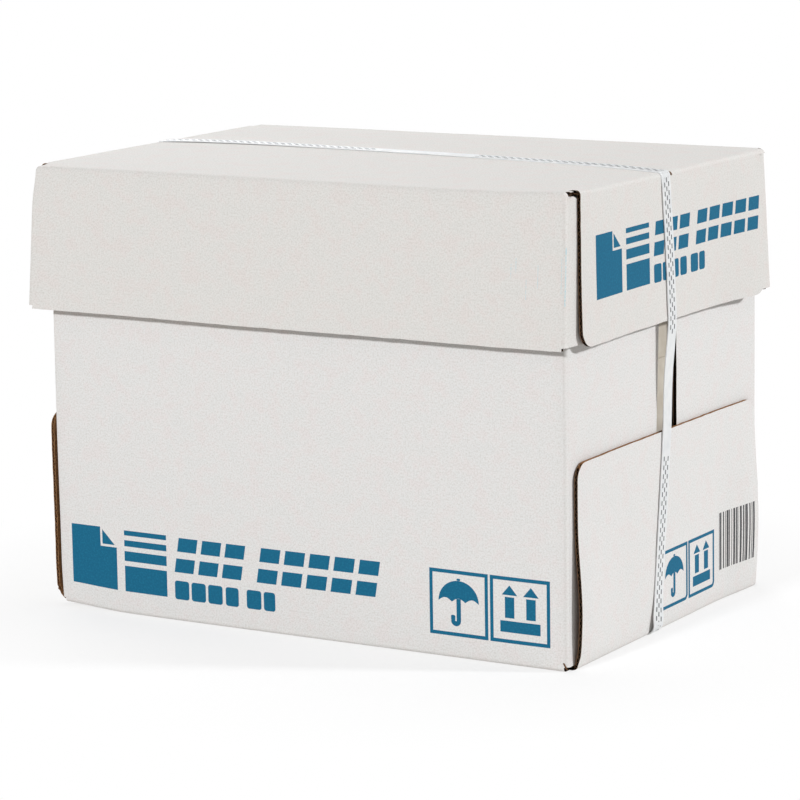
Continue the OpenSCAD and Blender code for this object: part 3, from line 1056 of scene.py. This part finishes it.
# The band is a flat sheet of the route's length. Its two end faces go, so that it closes.
strap_sheet = bmesh.new()
add_rectangle(strap_sheet, 0, strap_count, -STRAP_W / 2, STRAP_W / 2)
score(strap_sheet, range(1, strap_count), 0)
score(strap_sheet, spaced(-STRAP_W / 2, STRAP_W / 2, STRAP_W / 4)[1:-1], 1)
thicken(strap_sheet, half_t, STRAP_T)
ends = [f for f in strap_sheet.faces
        if any(all(abs(v.co.x - end) < TOUCH for v in f.verts) for end in (0, strap_count))]
bmesh.ops.delete(strap_sheet, geom=ends, context="FACES_ONLY")
strap = strap_piece(strap_sheet, "strap_band", strap_film)
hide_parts("strap")

# Strap print. A dark grey ink, rolled onto the film in runs along the band: three rows of
# plain dashes, set like bricks.
MARK_GREY = "#34373B"
MARK_THIN = "#5A5E63"
MARK_CLOUD_MM = 0.5
MARK_PITCH, MARK_END = 4.6, 8
MARK_START, MARK_RUN, MARK_PERIOD = 207.0, 199.0, 263.0
DASH_L, DASH_W, DASH_PROUD, DASH_T = 2.4, 0.8, 0.04, 0.1
DASH_ROWS = ((-2.2, 0), (0, 2.3), (2.2, 0))
mark_ink = dried_ink("strap_ink", MARK_CLOUD_MM, 2, ((0, MARK_GREY), (1, MARK_THIN)),
                     Roughness=0.5, IOR=1.5)


def place_at(length):
    """The place on the route at a length along it."""
    for i in range(strap_count):
        if strap_lengths[i + 1] >= length:
            return i + (length - strap_lengths[i]) / (strap_lengths[i + 1] - strap_lengths[i])
    return strap_count


marks = bmesh.new()
length = 2.0
while length < strap_lengths[-1] - MARK_END:
    if (length - MARK_START) % MARK_PERIOD < MARK_RUN:
        for across, shift in DASH_ROWS:
            start, end = place_at(length + shift), place_at(length + shift + DASH_L)
            add_rectangle(marks, start, end, across - DASH_W / 2, across + DASH_W / 2)
    length += MARK_PITCH
thicken(marks, half_t + DASH_PROUD, DASH_T)
strap_piece(marks, "strap_marks", mark_ink)

# Floor. A plain pale floor that keeps the carton's shadow and turns to the white of the
# backdrop a little way off. Its glow is how much of its light it gives by itself.
FLOOR_HALF = 6.0
FLOOR_TONE = "#D8D6D3"
FLOOR_GLOW, CLOSE_GLOW = 0.37, 0.66
FADE_FROM, FADE_TO = 0.16, 0.31


def seen_by(tree, *kinds):
    """1 for rays of the kinds named, and 0 for all others."""
    rays = add_node(tree, "LightPath").outputs
    seen = rays[kinds[0]]
    for kind in kinds[1:]:
        seen = add_node(tree, "Math", {"operation": "MAXIMUM"}, {0: seen, 1: rays[kind]}).outputs["Value"]
    return seen


floor_sheet = bmesh.new()
bmesh.ops.create_grid(floor_sheet, x_segments=1, y_segments=1, size=FLOOR_HALF)
floor_mesh = bpy.data.meshes.new("floor")
floor_sheet.to_mesh(floor_mesh)
floor_sheet.free()
new_object("floor", floor_mesh)
floor_paper, tree, shader = new_material("studio_floor", Roughness=0.9)
place = add_node(tree, "TexCoord").outputs["Object"]
away = add_node(tree, "VectorMath", {"operation": "LENGTH"}, {"Vector": place})
fade = add_node(tree, "MapRange", {"interpolation_type": "SMOOTHSTEP"},
                {"Value": away.outputs["Value"], "From Min": FADE_FROM, "From Max": FADE_TO,
                 "To Min": CLOSE_GLOW, "To Max": 1.0})
seen = seen_by(tree, "Is Camera Ray", "Is Glossy Ray", "Is Transmission Ray")
floor_tone = add_node(tree, "Mix", {"data_type": "RGBA"}, {"Factor": seen, "A": linear(FLOOR_TONE),
                                                           "B": (1, 1, 1, 1)})
tree.links.new(floor_tone.outputs["Result"], shader.inputs["Base Color"])
glow = add_node(tree, "Emission", inputs={"Color": floor_tone.outputs["Result"], "Strength": 1.0})
glow_part = add_node(tree, "MapRange", inputs={"Value": seen, "To Min": FLOOR_GLOW,
                                               "To Max": fade.outputs["Result"]})
mixed = add_node(tree, "MixShader", inputs={0: glow_part.outputs["Result"], 1: shader.outputs["BSDF"],
                                            2: glow.outputs["Emission"]})
tree.links.new(mixed.outputs["Shader"], tree.nodes["Material Output"].inputs["Surface"])
floor_mesh.materials.append(floor_paper)

# Light. A white room all round, and two lamps some way off: one to the left of the camera,
# which lights the long wall, and one to its right, which lights the end. Both are small
# enough to draw crisp shadows under the lid. Two soft ones fill the top and the far side.
ROOM_TONE, ROOM_STRENGTH = "#FFF7EF", 0.17
world = bpy.data.worlds.new("white_room")
bpy.context.scene.world = world
world.use_nodes = True
tree = world.node_tree
seen = seen_by(tree, "Is Camera Ray", "Is Transmission Ray")
room = add_node(tree, "Background", inputs={"Color": linear(ROOM_TONE), "Strength": ROOM_STRENGTH})
sky = add_node(tree, "Background", inputs={"Color": (1, 1, 1, 1), "Strength": 1.0})
both = add_node(tree, "MixShader", inputs={0: seen, 1: room.outputs["Background"],
                                           2: sky.outputs["Background"]})
tree.links.new(both.outputs["Shader"], tree.nodes["World Output"].inputs["Surface"])

LAMP_COLOUR = (0.985, 1.0, 1.02)
LAMP_AIM = Vector((0, 0, 0.12))


def way_to(azimuth, elevation):
    """The direction of a place round the carton, from its middle. Azimuth 0 is in front."""
    a, e = math.radians(azimuth), math.radians(elevation)
    return Vector((math.sin(a) * math.cos(e), -math.cos(a) * math.cos(e), math.sin(e)))


def place_lamp(name, azimuth, elevation, distance, size, power):
    """A square lamp that looks at the carton's middle, with its sizes in metres and watts."""
    lamp = bpy.data.lights.new(name, "AREA")
    lamp.shape, lamp.size, lamp.energy = "SQUARE", size, power
    lamp.color = LAMP_COLOUR
    back = way_to(azimuth, elevation)
    thing = new_object(name, lamp)
    thing.rotation_mode = "QUATERNION"
    thing.location = LAMP_AIM + back * distance
    thing.rotation_quaternion = (-back).to_track_quat("-Z", "Y")


place_lamp("lamp_left", -4, 26.5, 9.0, 0.75, 472)
place_lamp("lamp_right", 113, 25, 9.0, 0.75, 532)
place_lamp("lamp_back", 233, 21, 3.0, 2.5, 50)
place_lamp("lamp_top", 180, 86, 3.0, 1.5, 10)

# Camera. Where the photograph was taken from, worked out from the carton's corners in it.
CAMERA_AZIMUTH, CAMERA_ELEVATION, CAMERA_ROLL = 30.766, 10.467, -0.894
CAMERA_DISTANCE, CAMERA_RIGHT, CAMERA_UP, CAMERA_FOCUS_PX = 1885.8, -3.28, -17.92, 3525.1
CAMERA_AIM = Vector((0, 0, 125))
PHOTO_PX, SENSOR, FAR_CLIP = 800, 36.0, 100
roll = math.radians(CAMERA_ROLL)
back = way_to(CAMERA_AZIMUTH, CAMERA_ELEVATION)
level = Vector((0, 0, 1)).cross(back).normalized()
steep = back.cross(level)
right = level * math.cos(roll) + steep * math.sin(roll)
up = steep * math.cos(roll) - level * math.sin(roll)
target = CAMERA_AIM + right * CAMERA_RIGHT + up * CAMERA_UP
camera = new_object("camera", bpy.data.cameras.new("camera"))
bpy.context.scene.camera = camera
camera.data.sensor_width = SENSOR
camera.data.lens = CAMERA_FOCUS_PX * SENSOR / PHOTO_PX
camera.data.clip_end = FAR_CLIP
place = Matrix((right, up, back)).transposed().to_4x4()
place.translation = (target + back * CAMERA_DISTANCE) * MM
camera.matrix_world = place

bpy.context.scene.view_settings.view_transform = "Standard"
